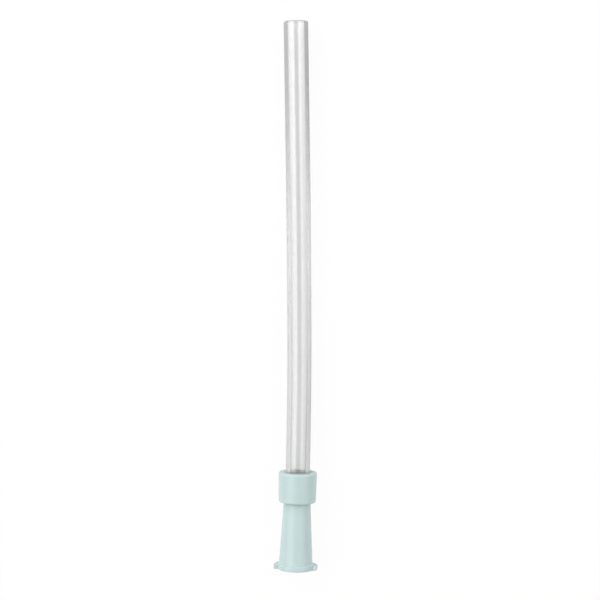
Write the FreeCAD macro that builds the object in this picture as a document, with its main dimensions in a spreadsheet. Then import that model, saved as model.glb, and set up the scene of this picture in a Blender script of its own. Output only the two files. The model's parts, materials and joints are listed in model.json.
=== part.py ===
import FreeCAD, Part
import math
import os
import Sketcher

# Suction catheter: a clear flexible tube, cut square at its open tip, with a moulded
# connector on its other end. The connector has a 6 % conical socket behind a rim with
# two lugs, and a collar that the tube is cemented into.
# All lengths are in millimetres and all angles in degrees.
# The finished part lies on its side: +Y runs from the connector to the tip, +Z is up.

doc = FreeCAD.newDocument("suction_catheter")

driving_sizes = {
    # Tube
    "tube_od": 4.3,
    "lumen_dia": 3.0,
    "tip_outer_round": 0.35,
    "tip_inner_round": 0.15,
    # Tube, centre line: the length of each run and its heading, from +Y towards +X
    "first_run": 17,
    "second_run": 22,
    "third_run": 25,
    "last_run": 19.8,
    "first_heading": 1.38,
    "second_heading": -0.12,
    "third_heading": -0.65,
    "last_heading": -0.9,
    "arc_share": 0.45,
    # Connector, outside
    "hub_len": 17.2,
    "collar_len": 5.3,
    "collar_dia": 6.8,
    "collar_draft": 0.1,
    "neck_dia": 4.75,
    "barrel_dia": 5.95,
    "rim_ledge": 0.325,
    "rim_thick": 0.95,
    "rim_round": 0.2,
    "collar_round": 0.28,
    "neck_fillet": 0.35,
    # Connector, lugs
    "lug_reach": 0.6,
    "lug_sink": 0.6,
    "lug_arc": 38,
    "lug_crest": 0.7,
    "lug_edge": 0.1,
    "lug_roll": 7,
    # Connector, inside
    "socket_mouth_dia": 4.3,
    "socket_depth": 9.0,
    "socket_taper": 0.06,
    "mouth_chamfer": 0.15,
    "waterway_dia": 3.4,
    "tube_seat_len": 4.6,
    "bond_gap": 0.02,
    "seat_lead_in": 0.3,
}

sheet = doc.addObject("Spreadsheet::Sheet", "Sizes")
for row, (alias, value) in enumerate(driving_sizes.items(), start=1):
    sheet.set(f"A{row}", alias.replace("_", " "))
    sheet.set(f"B{row}", str(value))
    sheet.setAlias(f"B{row}", alias)
doc.recompute()


def size(expression):
    # A length or angle worked out from the sheet, as a plain number
    return float(sheet.evalExpression(expression))


def cells(text):
    # The same text with each size's name pointing at its cell of the sheet
    words = text.replace("(", "( ").replace(")", " )").split()
    return " ".join(f"Sizes.{word}" if word in driving_sizes else word for word in words)


def plane_of(body, role):
    return next(f for f in body.Origin.OriginFeatures if f.Role == role)


def new_sketch(body, name, role):
    sketch = body.newObject("Sketcher::SketchObject", name)
    sketch.AttachmentSupport = [(plane_of(body, role), "")]
    sketch.MapMode = "FlatFace"
    return sketch


def bind(sketch, constraint, text):
    index = sketch.addConstraint(constraint)
    sketch.setExpression(f"Constraints[{index}]", cells(text))


def closed_section(body, name, corners):
    # A closed outline in the plane of the axis. Each corner is (radius, height), as
    # text that names sizes, and "0" puts the corner on the axis or on the base line.
    sketch = new_sketch(body, name, "XZ_Plane")
    points = [FreeCAD.Vector(size(x), size(y), 0) for x, y in corners]
    following = points[1:] + points[:1]
    for start, end in zip(points, following):
        sketch.addGeometry(Part.LineSegment(start, end))
    count = len(points)
    for i in range(count):
        sketch.addConstraint(Sketcher.Constraint("Coincident", i, 2, (i + 1) % count, 1))
    for i, (x, y) in enumerate(corners):
        if x == "0":
            sketch.addConstraint(Sketcher.Constraint("PointOnObject", i, 1, -2))
        else:
            bind(sketch, Sketcher.Constraint("DistanceX", -1, 1, i, 1, size(x)), x)
        if y == "0":
            sketch.addConstraint(Sketcher.Constraint("PointOnObject", i, 1, -1))
        else:
            bind(sketch, Sketcher.Constraint("DistanceY", -1, 1, i, 1, size(y)), y)
    return sketch


def circles_of(shape, radius, centre):
    # Names of the edges that are circles of this radius about this point
    names = []
    for number, edge in enumerate(shape.Edges, start=1):
        if not isinstance(edge.Curve, Part.Circle):
            continue
        if abs(edge.Curve.Radius - radius) < 1e-4 and edge.Curve.Center.distanceToPoint(centre) < 1e-4:
            names.append(f"Edge{number}")
    return names


def round_circles(body, name, base, circles, radius):
    # Each circle is (radius, centre), in millimetres
    edges = [edge for r, centre in circles for edge in circles_of(base.Shape, r, centre)]
    feature = body.newObject("PartDesign::Fillet", name)
    feature.Base = (base, edges)
    feature.setExpression("Radius", cells(radius))
    body.Tip = feature
    doc.recompute()
    return feature


# Connector, one moulding. Its own Z axis runs from the mouth of the socket, at 0, to
# the collar that the tube enters.
def make_hub():
    body = doc.addObject("PartDesign::Body", "connector_hub")
    body.Label = "connector_hub"
    collar_base = "hub_len - collar_len"
    collar_low = "collar_dia / 2 - collar_draft"
    rim = "barrel_dia / 2 + rim_ledge"
    lug_tip = f"{rim} + lug_reach"

    outline = closed_section(body, "hub_outline", [
        ("0", "0"),
        (rim, "0"),
        (rim, "rim_thick"),
        ("barrel_dia / 2", "rim_thick"),
        ("neck_dia / 2", collar_base),
        (collar_low, collar_base),
        ("collar_dia / 2", "hub_len"),
        ("0", "hub_len"),
    ])
    form = body.newObject("PartDesign::Revolution", "hub_form")
    form.Profile = outline
    form.ReferenceAxis = (outline, ["V_Axis"])
    form.Angle = 360
    doc.recompute()

    def ring(radius, height):
        return size(radius), FreeCAD.Vector(0, 0, size(height))

    collar_ends = [ring(collar_low, collar_base), ring("collar_dia / 2", "hub_len")]
    rim_edges = [ring(rim, "0"), ring(rim, "rim_thick")]
    neck_ring = [ring("neck_dia / 2", collar_base)]
    collar = round_circles(body, "collar_edges", form, collar_ends, "collar_round")
    ledge = round_circles(body, "rim_edges", collar, rim_edges, "rim_round")
    round_circles(body, "neck_corner", ledge, neck_ring, "neck_fillet")

    # Each lug is a short arc, flat on the mouth's side and sloped on the other
    root = f"{rim} - lug_sink"
    lug_outline = closed_section(body, "lug_outline", [
        (root, "0"),
        (lug_tip, "0"),
        (lug_tip, "lug_crest"),
        (root, "rim_thick"),
    ])
    lug = body.newObject("PartDesign::Revolution", "lug")
    lug.Profile = lug_outline
    lug.ReferenceAxis = (lug_outline, ["V_Axis"])
    lug.Midplane = True
    lug.setExpression("Angle", cells("lug_arc"))
    pair = body.newObject("PartDesign::PolarPattern", "lug_pair")
    pair.Originals = [lug]
    pair.Axis = (plane_of(body, "Z_Axis"), [""])
    pair.Angle = 360
    pair.Occurrences = 2
    body.Tip = pair
    doc.recompute()
    crests = [ring(lug_tip, "0"), ring(lug_tip, "lug_crest")]
    round_circles(body, "lug_edges", pair, crests, "lug_edge")

    # Socket, waterway and tube seat, cut as one turned form
    taper_end = "( socket_mouth_dia - socket_taper * socket_depth ) / 2"
    seat = "tube_od / 2 + bond_gap"
    seat_end = "hub_len - tube_seat_len - bond_gap"
    bore_outline = closed_section(body, "bore_outline", [
        ("0", "0"),
        ("socket_mouth_dia / 2 + mouth_chamfer", "0"),
        ("socket_mouth_dia / 2 - socket_taper * mouth_chamfer / 2", "mouth_chamfer"),
        (taper_end, "socket_depth"),
        ("waterway_dia / 2", "socket_depth"),
        ("waterway_dia / 2", seat_end),
        (seat, seat_end),
        (seat, "hub_len - seat_lead_in"),
        (f"{seat} + seat_lead_in", "hub_len"),
        ("0", "hub_len"),
    ])
    bore = body.newObject("PartDesign::Groove", "bore")
    bore.Profile = bore_outline
    bore.ReferenceAxis = (bore_outline, ["V_Axis"])
    bore.Angle = 360
    body.Tip = bore
    return body


# How the part lies. The collar's edge and the tube touch the surface. The tube comes
# down to it over its first two runs and lies on it from there to its tip.
def towards(heading, dip):
    # Unit vector at this heading from +Y towards +X, pointing down by this dip
    turned = math.radians(heading)
    level = FreeCAD.Vector(math.sin(turned), math.cos(turned), 0)
    return level * math.cos(dip) - FreeCAD.Vector(0, 0, math.sin(dip))


def run_directions():
    descent = size("first_run + second_run - tube_seat_len")
    dip = math.asin(size("collar_dia - tube_od") / 2 / descent)
    return [
        towards(size("first_heading"), dip),
        towards(size("second_heading"), dip),
        towards(size("third_heading"), 0),
        towards(size("last_heading"), 0),
    ]


# The connector's own frame: Z along its axis towards the tip, X level, Y upwards
def lying_rotation():
    axis = run_directions()[0]
    left = FreeCAD.Vector(-axis.y, axis.x, 0)
    return FreeCAD.Rotation(left, axis.cross(left), axis, "ZXY")


def centre_line_wire():
    # Straight runs joined by tangent arcs, from the tube's seated end along Z. Each
    # arc takes the same share of the shorter run beside its corner.
    to_own = lying_rotation().inverted()
    ways = [to_own.multVec(direction) for direction in run_directions()]
    runs = [size(name) for name in ("first_run", "second_run", "third_run", "last_run")]
    corners = [FreeCAD.Vector(0, 0, 0)]
    for way, run in zip(ways, runs):
        corners.append(corners[-1] + way * run)

    edges = []
    start = corners[0]
    for i in range(1, len(runs)):
        bite = size("arc_share") * min(runs[i - 1], runs[i])
        turn = ways[i - 1].getAngle(ways[i])
        radius = bite / math.tan(turn / 2)
        inward = (ways[i] - ways[i - 1]).normalize()
        middle = corners[i] + inward * (radius / math.cos(turn / 2) - radius)
        before = corners[i] - ways[i - 1] * bite
        after = corners[i] + ways[i] * bite
        edges.append(Part.LineSegment(start, before).toShape())
        edges.append(Part.Arc(before, middle, after).toShape())
        start = after
        print(f"bend {i}: {math.degrees(turn):.2f} degrees, radius {radius:.0f} mm")
    edges.append(Part.LineSegment(start, corners[-1]).toShape())
    return Part.Wire(edges), corners[-1]


# Tube, one extrusion. Its own Z axis starts at its seated end, along the connector's
# axis.
def make_tube():
    wire, tip = centre_line_wire()
    centre_line = doc.addObject("Part::Feature", "centre_line")
    centre_line.Shape = wire

    body = doc.addObject("PartDesign::Body", "catheter_tube")
    body.Label = "catheter_tube"
    route = body.newObject("PartDesign::SubShapeBinder", "route")
    route.Relative = False
    route.Support = [(centre_line, ("",))]
    section = new_sketch(body, "tube_section", "XY_Plane")
    for number, diameter in enumerate(("tube_od", "lumen_dia")):
        circle = Part.Circle(FreeCAD.Vector(0, 0, 0), FreeCAD.Vector(0, 0, 1), size(diameter) / 2)
        section.addGeometry(circle)
        section.addConstraint(Sketcher.Constraint("Coincident", number, 3, -1, 1))
        bind(section, Sketcher.Constraint("Diameter", number, size(diameter)), diameter)
    doc.recompute()
    pipe = body.newObject("PartDesign::AdditivePipe", "tube_wall")
    pipe.Profile = section
    pipe.Spine = (route, [])
    doc.recompute()
    outer = round_circles(body, "tip_outside", pipe, [(size("tube_od / 2"), tip)], "tip_outer_round")
    round_circles(body, "tip_inside", outer, [(size("lumen_dia / 2"), tip)], "tip_inner_round")
    return body


hub = make_hub()
tube = make_tube()
doc.recompute()

lying = FreeCAD.Placement(FreeCAD.Vector(0, 0, 0), lying_rotation())
seat = FreeCAD.Placement(FreeCAD.Vector(0, 0, size("hub_len - tube_seat_len")), FreeCAD.Rotation())
lugs_rolled = FreeCAD.Rotation(FreeCAD.Vector(0, 0, -1), size("lug_roll"))
hub.Placement = lying * FreeCAD.Placement(FreeCAD.Vector(0, 0, 0), lugs_rolled)
tube.Placement = lying * seat
doc.recompute()

# The origin is under the middle of the part's box, on the surface it lies on
box = Part.makeCompound([hub.Shape, tube.Shape]).optimalBoundingBox(False, False)
middle = FreeCAD.Vector(box.Center.x, box.Center.y, box.ZMin)
for body in (hub, tube):
    body.Placement = FreeCAD.Placement(middle * -1, FreeCAD.Rotation()) * body.Placement
doc.recompute()

for obj in doc.Objects:
    if "Invalid" in obj.State or "Error" in obj.State:
        raise RuntimeError(f"{obj.Label} failed to build: {obj.getStatusString()}")

os.makedirs("parts", exist_ok=True)
for body in (hub, tube):
    if body.Shape.isNull() or not body.Shape.isValid() or len(body.Shape.Solids) != 1:
        raise RuntimeError(f"{body.Label} isn't one valid solid")
    body.Shape.exportStep(f"parts/{body.Label}.step")
    print(f"{body.Label}: {body.Shape.Volume:.2f} mm3")
print(f"overall: {box.XLength:.2f} x {box.YLength:.2f} x {box.ZLength:.2f} mm")
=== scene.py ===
import json
import math

import bpy
import numpy as np
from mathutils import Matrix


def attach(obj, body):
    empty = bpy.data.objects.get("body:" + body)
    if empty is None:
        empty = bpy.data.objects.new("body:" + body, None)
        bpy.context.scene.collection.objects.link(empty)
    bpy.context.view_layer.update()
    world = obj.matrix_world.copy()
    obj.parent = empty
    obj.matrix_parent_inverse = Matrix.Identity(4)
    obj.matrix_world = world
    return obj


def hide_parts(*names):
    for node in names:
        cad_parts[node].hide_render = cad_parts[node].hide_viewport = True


# Suction catheter: a clear drawn tube cemented into a mint connector, seen from above.
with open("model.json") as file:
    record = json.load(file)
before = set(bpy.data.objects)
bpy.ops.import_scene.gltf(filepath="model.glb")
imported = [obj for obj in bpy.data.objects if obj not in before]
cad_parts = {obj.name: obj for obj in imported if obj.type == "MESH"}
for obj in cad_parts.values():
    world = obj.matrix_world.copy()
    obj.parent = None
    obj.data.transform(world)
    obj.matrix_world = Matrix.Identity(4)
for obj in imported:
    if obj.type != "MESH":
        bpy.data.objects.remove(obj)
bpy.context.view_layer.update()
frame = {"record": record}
mounts = {mount["name"]: mount for mount in frame["record"]["mounts"]}
print("frame loaded")


# A cubic step: 3t^2 - 2t^3, with t the share of the way from low to high
def smoothStep(x, low, high):
    t = np.clip((x - low) / (high - low), 0, 1)
    return t * t * (3 - 2 * t)


# Points of a closed outline whose corners (a, b, r) are rounded by arcs of radius r, tangent to both sides.
# Along a side the points stand as a cosine does, so that they crowd towards its ends.
# Outlines with the same counts match point for point.
def roundedOutline(corners, counts, arcSteps):
    corner = np.array(corners, float)
    place, radius = corner[:, :2], corner[:, 2]
    back = np.roll(place, 1, axis=0) - place
    ahead = np.roll(place, -1, axis=0) - place
    back /= np.linalg.norm(back, axis=1)[:, None]
    ahead /= np.linalg.norm(ahead, axis=1)[:, None]
    inside = np.arccos(np.clip((back * ahead).sum(axis=1), -1, 1))
    reach = (radius / np.tan(inside / 2))[:, None]
    inward = back + ahead
    inward /= np.linalg.norm(inward, axis=1)[:, None]
    centre = place + inward * (radius / np.sin(inside / 2))[:, None]
    start, end = place + back * reach, place + ahead * reach
    turn = np.linspace(0, 1, arcSteps + 1)[:, None]
    parts = []
    for i, count in enumerate(counts):
        sweep = math.pi - inside[i]
        arc = (start[i] - centre[i]) * np.sin((1 - turn) * sweep) + (end[i] - centre[i]) * np.sin(turn * sweep)
        share = 0.5 - 0.5 * np.cos(np.linspace(0, math.pi, count + 2)[1:-1])[:, None]
        parts.append(centre[i] + arc / math.sin(sweep) if radius[i] > 0 else place[i : i + 1])
        parts.append(end[i] + (start[(i + 1) % len(counts)] - end[i]) * share)
    return np.concatenate(parts)


# One mesh from a grid of points that closes on itself both ways, as a ring does. Its volume is a sixth of the
# sum of its triangles' triple products, and the faces are turned round where that is negative. Where each
# row's distance along the outline is given, a UV map holds the share of the way round and that distance.
def ringMesh(name, points, along=None):
    rows, columns = points.shape[:2]
    index = np.arange(rows * columns).reshape(rows, columns)
    right, below = np.roll(index, -1, axis=1), np.roll(index, -1, axis=0)
    quads = np.stack([index, right, np.roll(below, -1, axis=1), below], axis=-1).reshape(-1, 4)
    flat = points.reshape(-1, 3)
    a, b, c, d = (flat[quads[:, k]] for k in range(4))
    volume = ((a * np.cross(b, c)).sum() + (a * np.cross(c, d)).sum()) / 6
    if volume < 0:
        quads = quads[:, ::-1]
    mesh = bpy.data.meshes.new(name)
    mesh.from_pydata(flat.tolist(), [], quads.tolist())
    mesh.polygons.foreach_set("use_smooth", np.ones(len(quads), bool))
    mesh.update()
    if along is not None:
        row, column = quads // columns, quads % columns
        column = np.where((column == 0) & (column.max(axis=1) == columns - 1)[:, None], columns, column)
        wrap = np.stack([column / columns, along[row]], axis=-1)
        mesh.uv_layers.new(name="wrap").uv.foreach_set("vector", wrap.ravel())
    piece = bpy.data.objects.new(name, mesh)
    bpy.context.scene.collection.objects.link(piece)
    print(f"{name}: {len(quads)} faces, {abs(volume) * 1e9:.1f} mm3")
    return piece


# An output in an expression. Each operator adds a Math node to the same material
class Wire:
    def __init__(self, finish, socket):
        self.finish, self.socket = finish, socket

    def math(self, operation, first, second):
        return self.finish.node("Math", {"operation": operation}, {0: first, 1: second})

    def __add__(self, other):
        return self.math("ADD", self, other)

    def __radd__(self, other):
        return self.math("ADD", other, self)

    def __sub__(self, other):
        return self.math("SUBTRACT", self, other)

    def __rsub__(self, other):
        return self.math("SUBTRACT", other, self)

    def __mul__(self, other):
        return self.math("MULTIPLY", self, other)

    def __rmul__(self, other):
        return self.math("MULTIPLY", other, self)


# A material or the world, and the nodes that make it
class Finish:
    def __init__(self, owner):
        self.owner = owner
        self.owner.use_nodes = True
        self.tree = self.owner.node_tree
        self.tree.nodes.clear()

    # Any node: its settings first, then a value or a link for each named or numbered socket
    def node(self, kind, settings, sockets, output=0):
        node = self.tree.nodes.new("ShaderNode" + kind)
        for name, value in settings.items():
            setattr(node, name, value)
        for name, value in sockets.items():
            if isinstance(value, Wire):
                self.tree.links.new(value.socket, node.inputs[name])
            else:
                node.inputs[name].default_value = value
        return Wire(self, node.outputs[output]) if node.outputs else None

    # A place on the object in metres, or in its own UV map
    def place(self, source="Object"):
        return self.node("TexCoord", {}, {}, source)

    # Noise from 0 to 1, with its own count of grains along each axis
    def grain(self, counts, detail, source="Object"):
        scaled = self.node("VectorMath", {"operation": "MULTIPLY"}, {0: self.place(source), 1: counts})
        return self.node("TexNoise", {}, {"Vector": scaled, "Scale": 1.0, "Detail": detail}, "Fac")

    # A smooth change of a value from one level to another: each end is (value, level)
    def ease(self, value, start, end):
        ends = {"From Min": start[0], "From Max": end[0], "To Min": start[1], "To Max": end[1]}
        return self.node("MapRange", {"interpolation_type": "SMOOTHSTEP"}, {"Value": value, **ends})

    def bump(self, height, strength, distance):
        return self.node("Bump", {}, {"Height": height, "Strength": strength, "Distance": distance})

    def close(self, surface, kind="OutputMaterial"):
        self.node(kind, {}, {"Surface": surface})
        return self.owner


cameraSizes = {
    "place": (0.00078, 0.02753, 0.27500),  # metres, above the part
    "tilt": -4.0,  # degrees, nose towards the connector
    "lens": 93.38,
    "shiftY": -0.085,
}


def makeCamera(sizes):
    data = bpy.data.cameras.new("camera")
    data.lens, data.sensor_width = sizes["lens"], 36
    data.shift_y = sizes["shiftY"]
    data.clip_start = 0.01
    camera = bpy.data.objects.new("camera", data)
    camera.location = sizes["place"]
    camera.rotation_euler = (math.radians(sizes["tilt"]), 0, 0)
    bpy.context.scene.collection.objects.link(camera)
    bpy.context.scene.camera = camera


makeCamera(cameraSizes)
print("camera placed")


tubeSizes = {
    "route": [  # metres: seated end, three corners, tip
        (0.0002946, -0.0355351, 0.0035672),
        (0.0007037, -0.0185513, 0.0029495),
        (0.0006577, 0.0034342, 0.0021500),
        (0.0003741, 0.0284326, 0.0021500),
        (0.0000631, 0.0482301, 0.0021500),
    ],
    "outside": 0.00215,
    "lumen": 0.00150,
    "tipOutside": 0.00035,
    "tipInside": 0.00015,
    "around": 96,
    "along": 260,
}


# The route's points as the control points of a smooth spline, read back as points along it
def splinePoints(name, controls):
    curve = bpy.data.curves.new(name, "CURVE")
    curve.dimensions = "3D"
    curve.resolution_u = 48
    spline = curve.splines.new("NURBS")
    spline.points.add(len(controls) - 1)
    spline.points.foreach_set("co", np.column_stack([controls, np.ones(len(controls))]).ravel())
    spline.order_u = 3
    spline.use_endpoint_u = True
    holder = bpy.data.objects.new(name, curve)
    line = bpy.data.meshes.new_from_object(holder)
    points = np.empty(len(line.vertices) * 3)
    line.vertices.foreach_get("co", points)
    bpy.data.meshes.remove(line)
    bpy.data.objects.remove(holder)
    bpy.data.curves.remove(curve)
    return points.reshape(-1, 3)


# A closed outline of (distance along a line, radius) carried round the line: each point is the line's own
# point plus its radius times cos(angle) of the level side direction and sin(angle) of the upward one.
def tubeGrid(line, outline, angles):
    travelled = np.concatenate([[0], np.cumsum(np.linalg.norm(np.diff(line, axis=0), axis=1))])
    heading = np.gradient(line, travelled, axis=0)
    side = np.cross(heading, [0, 0, 1])
    side /= np.linalg.norm(side, axis=1)[:, None]
    up = np.cross(side, heading)
    up /= np.linalg.norm(up, axis=1)[:, None]

    def at(values):
        return np.column_stack([np.interp(outline[:, 0], travelled, values[:, k]) for k in range(3)])

    spread = at(side)[:, None] * np.cos(angles)[None, :, None] + at(up)[:, None] * np.sin(angles)[None, :, None]
    return at(line)[:, None] + spread * outline[:, 1][:, None, None]


def makeTube(sizes):
    line = splinePoints("tube_route", sizes["route"])
    length = np.linalg.norm(np.diff(line, axis=0), axis=1).sum()
    outside, lumen = sizes["outside"], sizes["lumen"]
    corners = [
        (0, outside, 0.00005),
        (length, outside, sizes["tipOutside"]),
        (length, lumen, sizes["tipInside"]),
        (0, lumen, 0.00005),
    ]
    outline = roundedOutline(corners, [sizes["along"], 4, sizes["along"], 6], 10)
    angles = np.linspace(0, 2 * math.pi, sizes["around"], endpoint=False) - math.pi / 2
    travelled = np.concatenate([[0], np.cumsum(np.linalg.norm(np.diff(outline, axis=0), axis=1))])
    return ringMesh("catheter_wall", tubeGrid(line, outline, angles), travelled), line


tube, tubeLine = makeTube(tubeSizes)
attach(tube, "root")
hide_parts("catheter_tube")


hubSizes = {  # millimetres along the axis from the mouth, and across
    "length": 17.2,
    "rimThick": 0.95,
    "rim": 3.30,
    "rimRound": 0.20,
    "barrel": 2.975,
    "collarBase": 11.9,
    "neck": 2.375,
    "neckFillet": 0.35,
    "collarLow": 3.30,
    "collar": 3.40,
    "collarRound": 0.28,
    "mouth": 2.15,
    "mouthChamfer": 0.15,
    "taperEnd": 1.88,
    "taperDepth": 9.0,
    "waterway": 1.70,
    "seat": 2.17,
    "seatEnd": 12.58,
    "leadIn": 0.30,
    "lugTip": 3.90,
    "lugRoot": 2.70,
    "lugCrest": 0.70,
    "lugEdge": 0.10,
    "lugArc": 38,  # degrees
    "lugRoll": 7,
    "lugBlend": 1.1,
    "around": 288,
}


# An outline of (height, radius) in millimetres turned round the socket's axis: each point is the mouth plus
# its height along the axis and its radius along cos(angle) of the level side and sin(angle) of the upward one.
def turnedGrid(outline, degrees):
    mouth = np.array(mounts["conical_socket"]["pos_m"])
    axis = -np.array(mounts["conical_socket"]["axis"])
    right = np.cross(axis, [0, 0, 1])
    right /= np.linalg.norm(right)
    turned = np.radians(degrees)[:, None]
    spoke = right * np.cos(turned) + np.cross(right, axis) * np.sin(turned)
    return mouth + 0.001 * (outline[..., :1] * axis + outline[..., 1:] * spoke[None])


# The moulding is one outline turned round. Over the two lugs the rim's part of the outline changes to the
# lug's: (1 - w) * rim + w * lug, with w a cubic step at each end of a lug.
def makeHub(sizes):
    s = sizes
    rimCorners = [
        (0, s["rim"], s["rimRound"]),
        (s["rimThick"], s["rim"], s["rimRound"]),
        (s["rimThick"], s["barrel"], 0.08),
    ]
    slope = (s["rimThick"] - s["lugCrest"]) / (s["lugTip"] - s["lugRoot"])
    lugCorners = [
        (0, s["lugTip"], s["lugEdge"]),
        (s["lugCrest"], s["lugTip"], s["lugEdge"]),
        (s["rimThick"] - slope * (s["barrel"] - s["lugRoot"]), s["barrel"], 0.08),
    ]
    shared = [
        (s["collarBase"], s["neck"], s["neckFillet"]),
        (s["collarBase"], s["collarLow"], s["collarRound"]),
        (s["length"], s["collar"], s["collarRound"]),
        (s["length"], s["seat"] + s["leadIn"], 0.05),
        (s["length"] - s["leadIn"], s["seat"], 0.03),
        (s["seatEnd"], s["seat"], 0.03),
        (s["seatEnd"], s["waterway"], 0.03),
        (s["taperDepth"], s["waterway"], 0.05),
        (s["taperDepth"], s["taperEnd"], 0.05),
        (s["mouthChamfer"], s["mouth"] - 0.03 * s["mouthChamfer"], 0.05),
        (0, s["mouth"] + s["mouthChamfer"], 0.05),
    ]
    counts = [6, 6, 60, 8, 36, 8, 4, 24, 6, 22, 4, 50, 3, 8]
    plain = roundedOutline(rimCorners + shared, counts, 8)
    lugged = roundedOutline(lugCorners + shared, counts, 8)

    even = np.linspace(0, 360, s["around"], endpoint=False)
    half, blend = s["lugArc"] / 2, s["lugBlend"]
    ends = np.array([-half, half, 180 - half, 180 + half]) + s["lugRoll"]
    extra = (ends[:, None] + np.linspace(-1.5, 1.5, 17)[None] * blend).ravel() % 360
    angle = np.unique(np.round(np.concatenate([even, extra]), 4))
    fromLug = np.abs((angle - s["lugRoll"] + 90) % 180 - 90)
    lugShare = 1 - smoothStep(fromLug, half - blend, half + blend)
    outline = plain[:, None] + (lugged - plain)[:, None] * lugShare[None, :, None]
    return ringMesh("connector_shell", turnedGrid(outline, angle))


hub = makeHub(hubSizes)
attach(hub, "root")
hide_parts("connector_hub")


cementSizes = {  # millimetres, heights from the collar's end
    "bottom": -0.30,
    "top": 0.06,
    "tube": 2.145,
    "wide": 2.43,
}


# A ring of cement that fills the collar's lead-in and wets the tube
def makeCement(sizes):
    s, end = sizes, hubSizes["length"]
    corners = [
        (end + s["bottom"], s["tube"] + 0.015, 0),
        (end + s["bottom"], s["tube"], 0),
        (end + s["top"], s["tube"], 0),
        (end + s["top"] - 0.03, s["tube"] + 0.05, 0.04),
        (end - 0.05, s["tube"] + 0.17, 0.08),
        (end - 0.03, s["wide"], 0.015),
    ]
    outline = roundedOutline(corners, [2, 8, 2, 6, 8, 10], 6)
    return ringMesh("cement_bead", turnedGrid(outline[:, None], np.linspace(0, 360, 144, endpoint=False)))


cement = makeCement(cementSizes)
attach(cement, "root")

print("pieces made")


tubeLook = {
    "clear": (0.987, 0.989, 0.987, 1),
    "milky": (0.775, 0.777, 0.775, 1),
    "shade": (0.335, 0.335, 0.336, 1),
    # painted shade: the paler grey put on the outer wall's turned-away edges near the connector
    "paintedPaleShade": (0.600, 0.603, 0.600, 1),
    "milkMiddle": 0.125,  # share of each surface that looks milky, halfway along
    "milkPerMetre": -2.1,  # and how it falls towards the tip
    "shadeFrom": (0.004, 0.0),  # metres along, and share of the turned-away outer wall that looks shaded
    "shadeTo": (0.044, 0.75),
    "paintedPaleShadeFrom": (0.020, 0.05),  # the same for the paler painted shade on it near the connector
    "paintedPaleShadeTo": (-0.020, 0.50),
    "edgeFrom": 0.16,  # facing of 0 looks straight at the wall, 1 along it
    "edgeTo": 0.32,
    "outerEnd": 0.0841,  # metres along the tube's outline where the outer wall has turned into the lumen
    "bondFrom": -0.0100,  # metres along, where the haze that the cement left starts
    "bondTo": -0.0320,
    "bondMilk": 0.04,
}


# The wall is glass-clear with a share of plain milky surface, more of it towards the connector. Where the outer
# wall turns away from the view it gets painted shade, dark near the tip and paler near the connector, in place of
# the dark edges that light bent through a clear tube gives. A trace of haze from the cement lies by the collar,
# and fine lines run along it, as a drawn tube has.
def makeTubeFinish(look):
    finish = Finish(bpy.data.materials.new("clear_pvc"))
    facing = finish.node("LayerWeight", {}, {"Blend": 0.5}, "Facing")
    edge = finish.ease(facing, (look["edgeFrom"], 0.0), (look["edgeTo"], 1.0))
    unrolled = finish.node("SeparateXYZ", {}, {"Vector": finish.place("UV")}, "Y")
    outer = finish.node("Math", {"operation": "LESS_THAN"}, {0: unrolled, 1: look["outerEnd"]})
    along = finish.node("SeparateXYZ", {}, {"Vector": finish.place()}, "Y")
    lines = finish.grain((34, 9, 1), 2, "UV")
    cloud = finish.grain((200, 90, 200), 2)
    milk = along * look["milkPerMetre"] + look["milkMiddle"] + (cloud - 0.5) * 0.03 + (lines - 0.5) * 0.03
    # mask of the outer wall where it turns away from the view: it carries the painted edge shade
    rim = edge * outer
    shaded = rim * finish.ease(along, look["shadeFrom"], look["shadeTo"])
    # share of paler painted shade on the turned-away outer wall, strongest near the connector
    paintedPaleShadeShare = rim * finish.ease(along, look["paintedPaleShadeFrom"], look["paintedPaleShadeTo"])
    bond = outer * finish.ease(along, (look["bondFrom"], 0.0), (look["bondTo"], look["bondMilk"]))
    bump = finish.bump(lines, 0.02, 0.00003)
    rough = lines * 0.04 + 0.05
    clear = finish.node("BsdfPrincipled", {}, {
        "Base Color": look["clear"],
        "Roughness": rough,
        "IOR": 1.52,
        "Transmission Weight": 1.0,
        "Normal": bump,
    })
    # painted edge shade: its colour goes from the paler grey near the connector to the dark grey towards the tip
    darkerEdgeShadeShare = finish.ease(along, (look["shadeFrom"][0], 0.0), (look["shadeTo"][0] - 0.02, 1.0))
    turned = finish.node("Mix", {"data_type": "RGBA"}, {0: darkerEdgeShadeShare, 6: look["paintedPaleShade"], 7: look["shade"]}, 2)
    # the milky surface's colour, with painted edge shade where the outer wall turns away from the view
    tint = finish.node("Mix", {"data_type": "RGBA"}, {0: rim, 6: look["milky"], 7: turned}, 2)
    milky = finish.node("BsdfPrincipled", {}, {
        "Base Color": tint,
        "Roughness": rough,
        "IOR": 1.52,
        "Normal": bump,
    })
    return finish.close(finish.node("MixShader", {}, {0: milk + shaded + paintedPaleShadeShare + bond, 1: clear, 2: milky}))


hubLook = {
    "mint": (0.538, 0.664, 0.654, 1),
    "mintDeep": (0.502, 0.634, 0.624, 1),
}


# A satin moulding: its tint and gloss drift a little, over a fine even grain
def makeHubFinish(look):
    finish = Finish(bpy.data.materials.new("mint_plastic"))
    cloud = finish.grain((380, 240, 380), 3)
    fine = finish.grain((9000, 9000, 9000), 2)
    tint = finish.node("Mix", {"data_type": "RGBA"}, {0: cloud, 6: look["mintDeep"], 7: look["mint"]}, 2)
    return finish.close(finish.node("BsdfPrincipled", {}, {
        "Base Color": tint,
        "Roughness": cloud * 0.10 + 0.30,
        "IOR": 1.47,
        "Normal": finish.bump(fine, 0.10, 0.00002),
        "Subsurface Weight": 0.2,
        "Subsurface Radius": (0.0010, 0.0012, 0.0011),
        "Subsurface Scale": 1.0,
    }))


cementLook = {
    "colour": (0.42, 0.50, 0.48, 1),
}


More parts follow.
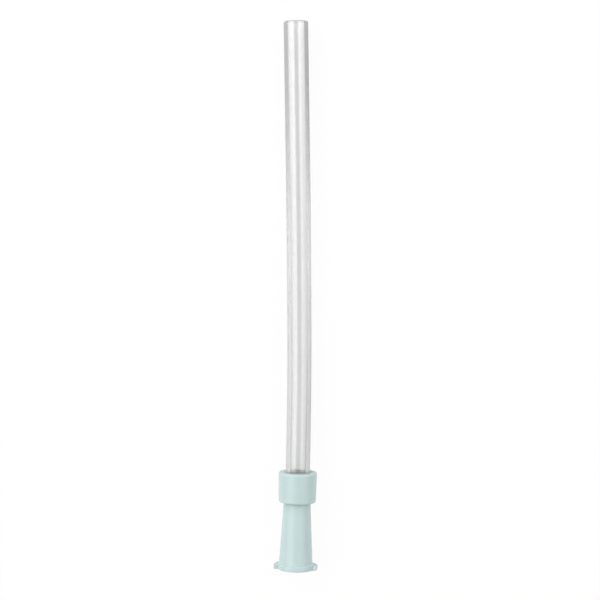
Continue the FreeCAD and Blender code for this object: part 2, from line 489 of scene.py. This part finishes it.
def makeCementFinish(look):
    finish = Finish(bpy.data.materials.new("cement"))
    cloud = finish.grain((900, 900, 900), 2)
    return finish.close(finish.node("BsdfPrincipled", {}, {
        "Base Color": look["colour"],
        "Roughness": cloud * 0.1 + 0.15,
        "IOR": 1.5,
        "Transmission Weight": 0.15,
    }))


tube.data.materials.append(makeTubeFinish(tubeLook))
hub.data.materials.append(makeHubFinish(hubLook))
cement.data.materials.append(makeCementFinish(cementLook))
print("finishes made")


stageLook = {
    "floorColour": (0.93, 0.93, 0.93, 1),
    "seenShare": 0.95,  # how much of the floor that the camera sees is plain white rather than lit
    "throughShare": 0.60,  # the same for what is seen in gloss and through the tube
    "panels": [  # degrees from overhead, half of its width in degrees, radiance
        (-43, 22, 2.45),
        (43, 22, 1.44),
    ],
    "panelAway": 0.5,
    "panelLong": 1.4,
    "panelAhead": 0.50,  # how far the panels' middle lies towards the tip
    "world": 0.35,
}


# The floor takes light and shadow, and part of what is seen of it is plain white
def makeFloorFinish(look):
    finish = Finish(bpy.data.materials.new("pale_floor"))
    lit = finish.node("BsdfDiffuse", {}, {"Color": look["floorColour"]})
    white = finish.node("Emission", {}, {"Color": (1, 1, 1, 1), "Strength": 1.0})
    seen, gloss, through = (
        finish.node("LightPath", {}, {}, ray) for ray in ("Is Camera Ray", "Is Glossy Ray", "Is Transmission Ray")
    )
    behind = finish.node("Math", {"operation": "MAXIMUM"}, {0: gloss, 1: through})
    share = seen * look["seenShare"] + behind * look["throughShare"]
    return finish.close(finish.node("MixShader", {}, {0: share, 1: lit, 2: white}))


# The world lights the object a little, and is seen as plain white beyond the floor's edge
def makeWorld(look):
    finish = Finish(bpy.data.worlds.new("studio"))
    dim = finish.node("Background", {}, {"Color": (look["world"],) * 3 + (1,)})
    white = finish.node("Background", {}, {"Color": (1, 1, 1, 1)})
    seen, through = (finish.node("LightPath", {}, {}, ray) for ray in ("Is Camera Ray", "Is Transmission Ray"))
    share = seen + through * look["throughShare"]
    return finish.close(finish.node("MixShader", {}, {0: share, 1: dim, 2: white}), "OutputWorld")


def makeStage(look):
    half = 1.5
    mesh = bpy.data.meshes.new("floor")
    mesh.from_pydata([(-half, -half, 0), (half, -half, 0), (half, half, 0), (-half, half, 0)], [], [(0, 1, 2, 3)])
    mesh.materials.append(makeFloorFinish(look))
    floor = bpy.data.objects.new("floor", mesh)
    bpy.context.scene.collection.objects.link(floor)
    away = look["panelAway"]
    for angle, halfWidth, radiance in look["panels"]:
        lamp = bpy.data.lights.new("panel", "AREA")
        lamp.shape = "RECTANGLE"
        lamp.size = 2 * away * math.tan(math.radians(halfWidth))
        lamp.size_y = look["panelLong"]
        lamp.energy = radiance * math.pi * lamp.size * lamp.size_y
        panel = bpy.data.objects.new("panel", lamp)
        turn = math.radians(angle)
        panel.location = (away * math.sin(turn), look["panelAhead"], away * math.cos(turn))
        panel.rotation_euler = (0, turn, 0)
        bpy.context.scene.collection.objects.link(panel)
    bpy.context.scene.world = makeWorld(look)
    bpy.context.scene.view_settings.view_transform = "Standard"


makeStage(stageLook)
print("stage made")
